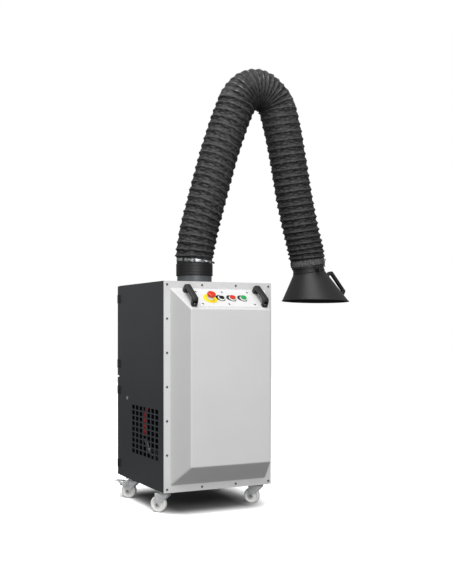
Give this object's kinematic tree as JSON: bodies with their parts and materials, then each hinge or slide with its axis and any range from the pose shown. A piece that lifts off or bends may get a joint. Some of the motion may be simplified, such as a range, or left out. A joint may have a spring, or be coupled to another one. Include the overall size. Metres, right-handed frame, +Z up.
{
  "type": "mobile welding fume extractor",
  "caption": "Mobile welding fume extractor: a grey steel filter case on castors with a jointed suction arm in a ribbed hose, ending in a cone hood with a damper.",
  "frame": {"origin": "on the floor under the centre of the case", "axes": "+X to the machine's right seen from its front, towards which the arm reaches; the controls face -Y; +Z up"},
  "size_m": [1.2039, 0.7408, 2.1494],
  "materials": {
    "pan_paint": "satin powder coat",
    "plate_paint": "satin",
    "side_paint": "satin powder coat",
    "screw_steel": "satin",
    "zinc_steel": "satin",
    "bright_steel": "polished",
    "dark_steel": "satin",
    "black_plastic": "matte",
    "bezel_plastic": "gloss",
    "yellow_plastic": "gloss",
    "red_plastic": "gloss",
    "green_plastic": "gloss",
    "seal_rubber": "matte",
    "cuff_rubber": "satin",
    "filter_media": "matte",
    "mesh_aluminium": "satin",
    "motor_aluminium": "satin",
    "white_nylon": "satin",
    "spigot_paint": "satin",
    "hose_fabric": "matte",
    "hood_paint": "satin"
  },
  "bodies": {
    "case": {"base_pan": "side_paint", "cable_gland": "black_plastic", "castor_plates": "zinc_steel", "contact_blocks": "black_plastic", "contactor_box": "black_plastic", "control_bezels": "bezel_plastic", "control_plate": "plate_paint", "door_seals": "seal_rubber", "estop_ring": "yellow_plastic", "fan_deck": "zinc_steel", "fan_housing": "zinc_steel", "fan_motor": "motor_aluminium", "front_pan": "pan_paint", "hinge_leaves": "dark_steel", "hose_spigot": "spigot_paint", "left_side_panel": "side_paint", "lift_handles": "black_plastic", "main_filter": "filter_media", "panel_screws": "screw_steel", "rear_frame": "side_paint", "right_side_panel": "side_paint", "side_plug": "black_plastic", "spark_filter": "mesh_aluminium", "top_panel": "side_paint"},
    "turret": {"swivel_cuff": "cuff_rubber", "shoulder_bracket": "dark_steel", "base_clamp": "bright_steel", "hose_shoulder": "hose_fabric"},
    "lower_arm": {"lower_arm": "dark_steel", "hose_lower": "hose_fabric", "hose_elbow": "hose_fabric"},
    "upper_arm": {"upper_arm": "dark_steel", "hose_upper": "hose_fabric", "hose_wrist": "hose_fabric"},
    "wrist": {"hood_collar": "dark_steel", "hood_clamp": "bright_steel"},
    "hood": {"hood_shell": "hood_paint", "hood_handle": "black_plastic"},
    "damper": {"damper": "dark_steel"},
    "impeller": {"impeller": "mesh_aluminium"},
    "upper_door": {"upper_door": "side_paint", "upper_door_hinges": "dark_steel"},
    "upper_latch": {"upper_latch": "black_plastic"},
    "lower_door": {"lower_door": "side_paint", "lower_door_hinges": "dark_steel"},
    "lower_latch": {"lower_latch": "black_plastic"},
    "estop_button": {"estop_button": "red_plastic"},
    "selector_knob": {"selector_knob": "black_plastic"},
    "stop_button": {"stop_button": "red_plastic"},
    "start_button": {"start_button": "green_plastic"},
    "front_left_fork": {"front_left_fork": "zinc_steel"},
    "front_left_wheel": {"front_left_wheel": "white_nylon"},
    "front_right_fork": {"front_right_fork": "zinc_steel"},
    "front_right_wheel": {"front_right_wheel": "white_nylon"},
    "rear_left_fork": {"rear_left_fork": "zinc_steel"},
    "rear_left_wheel": {"rear_left_wheel": "white_nylon"},
    "rear_left_pedal": {"rear_left_pedal": "zinc_steel"},
    "rear_right_fork": {"rear_right_fork": "zinc_steel"},
    "rear_right_wheel": {"rear_right_wheel": "white_nylon"},
    "rear_right_pedal": {"rear_right_pedal": "zinc_steel"}
  },
  "joints": [
    {"name": "arm_swivel", "type": "hinge", "parent": "case", "child": "turret", "pos_m": [0, -0.03, 1.0913], "axis": [0, 0, 1], "continuous": true},
    {"name": "shoulder_tilt", "type": "hinge", "parent": "turret", "child": "lower_arm", "pos_m": [0, -0.03, 1.28634], "axis": [0, 1, 0], "range_deg": [-25, 25], "deforming": ["hose_shoulder"]},
    {"name": "elbow_bend", "type": "hinge", "parent": "lower_arm", "child": "upper_arm", "pos_m": [0.34216, -0.03, 2.00056], "axis": [0, -1, 0], "range_deg": [-8, 100], "deforming": ["hose_elbow"]},
    {"name": "hood_tilt", "type": "hinge", "parent": "upper_arm", "child": "wrist", "pos_m": [0.63729, -0.03, 1.23083], "axis": [0, 1, 0], "range_deg": [-30, 30], "deforming": ["hose_wrist"]},
    {"name": "hood_turn", "type": "hinge", "parent": "wrist", "child": "hood", "pos_m": [0.64779, -0.03, 1.16449], "axis": [0.1564, 0, -0.9877], "range_deg": [-90, 90]},
    {"name": "damper_turn", "type": "hinge", "parent": "hood", "child": "damper", "pos_m": [0.65139, -0.03, 1.14177], "axis": [0, 1, 0], "range_deg": [0, 90]},
    {"name": "fan_spin", "type": "hinge", "parent": "case", "child": "impeller", "pos_m": [0, -0.105, 0.33], "axis": [0, 1, 0], "continuous": true},
    {"name": "front_left_swivel", "type": "hinge", "parent": "case", "child": "front_left_fork", "pos_m": [-0.241, -0.232, 0.0885], "axis": [0, 0, 1], "continuous": true},
    {"name": "front_left_roll", "type": "hinge", "parent": "front_left_fork", "child": "front_left_wheel", "pos_m": [-0.26146, -0.21006, 0.0375], "axis": [-0.7314, -0.682, 0], "continuous": true},
    {"name": "front_right_swivel", "type": "hinge", "parent": "case", "child": "front_right_fork", "pos_m": [0.241, -0.232, 0.0885], "axis": [0, 0, 1], "continuous": true},
    {"name": "front_right_roll", "type": "hinge", "parent": "front_right_fork", "child": "front_right_wheel", "pos_m": [0.22054, -0.21006, 0.0375], "axis": [-0.7314, -0.682, 0], "continuous": true},
    {"name": "rear_left_swivel", "type": "hinge", "parent": "case", "child": "rear_left_fork", "pos_m": [-0.241, 0.15, 0.0885], "axis": [0, 0, 1], "continuous": true},
    {"name": "rear_left_roll", "type": "hinge", "parent": "rear_left_fork", "child": "rear_left_wheel", "pos_m": [-0.26146, 0.17194, 0.0375], "axis": [-0.7314, -0.682, 0], "continuous": true},
    {"name": "rear_left_brake", "type": "hinge", "parent": "rear_left_fork", "child": "rear_left_pedal", "pos_m": [-0.28465, 0.19681, 0.069], "axis": [-0.7314, -0.682, 0], "range_deg": [0, 12]},
    {"name": "rear_right_swivel", "type": "hinge", "parent": "case", "child": "rear_right_fork", "pos_m": [0.241, 0.15, 0.0885], "axis": [0, 0, 1], "continuous": true},
    {"name": "rear_right_roll", "type": "hinge", "parent": "rear_right_fork", "child": "rear_right_wheel", "pos_m": [0.22054, 0.17194, 0.0375], "axis": [-0.7314, -0.682, 0], "continuous": true},
    {"name": "rear_right_brake", "type": "hinge", "parent": "rear_right_fork", "child": "rear_right_pedal", "pos_m": [0.19735, 0.19681, 0.069], "axis": [-0.7314, -0.682, 0], "range_deg": [0, 12]},
    {"name": "upper_door_open", "type": "hinge", "parent": "case", "child": "upper_door", "pos_m": [-0.279, 0.27875, 0.82425], "axis": [0, 0, 1], "range_deg": [0, 120]},
    {"name": "upper_latch_turn", "type": "hinge", "parent": "upper_door", "child": "upper_latch", "pos_m": [0.215, 0.3, 0.82425], "axis": [0, -1, 0], "range_deg": [0, 90]},
    {"name": "lower_door_open", "type": "hinge", "parent": "case", "child": "lower_door", "pos_m": [-0.279, 0.27875, 0.34675], "axis": [0, 0, 1], "range_deg": [0, 120]},
    {"name": "lower_latch_turn", "type": "hinge", "parent": "lower_door", "child": "lower_latch", "pos_m": [0.215, 0.3, 0.34675], "axis": [0, -1, 0], "range_deg": [0, 90]},
    {"name": "estop_press", "type": "slide", "parent": "case", "child": "estop_button", "axis": [0, 0.59, -0.8074], "range_m": [0, 0.003], "stiffness_N_per_m": 600, "springref_m": -0.003},
    {"name": "stop_press", "type": "slide", "parent": "case", "child": "stop_button", "axis": [0, 0.59, -0.8074], "range_m": [0, 0.003], "stiffness_N_per_m": 600, "springref_m": -0.003},
    {"name": "start_press", "type": "slide", "parent": "case", "child": "start_button", "axis": [0, 0.59, -0.8074], "range_m": [0, 0.003], "stiffness_N_per_m": 600, "springref_m": -0.003},
    {"name": "selector_turn", "type": "hinge", "parent": "case", "child": "selector_knob", "pos_m": [-0.022, -0.36701, 0.96903], "axis": [0, -0.59, 0.8074], "range_deg": [-45, 45]}
  ]
}
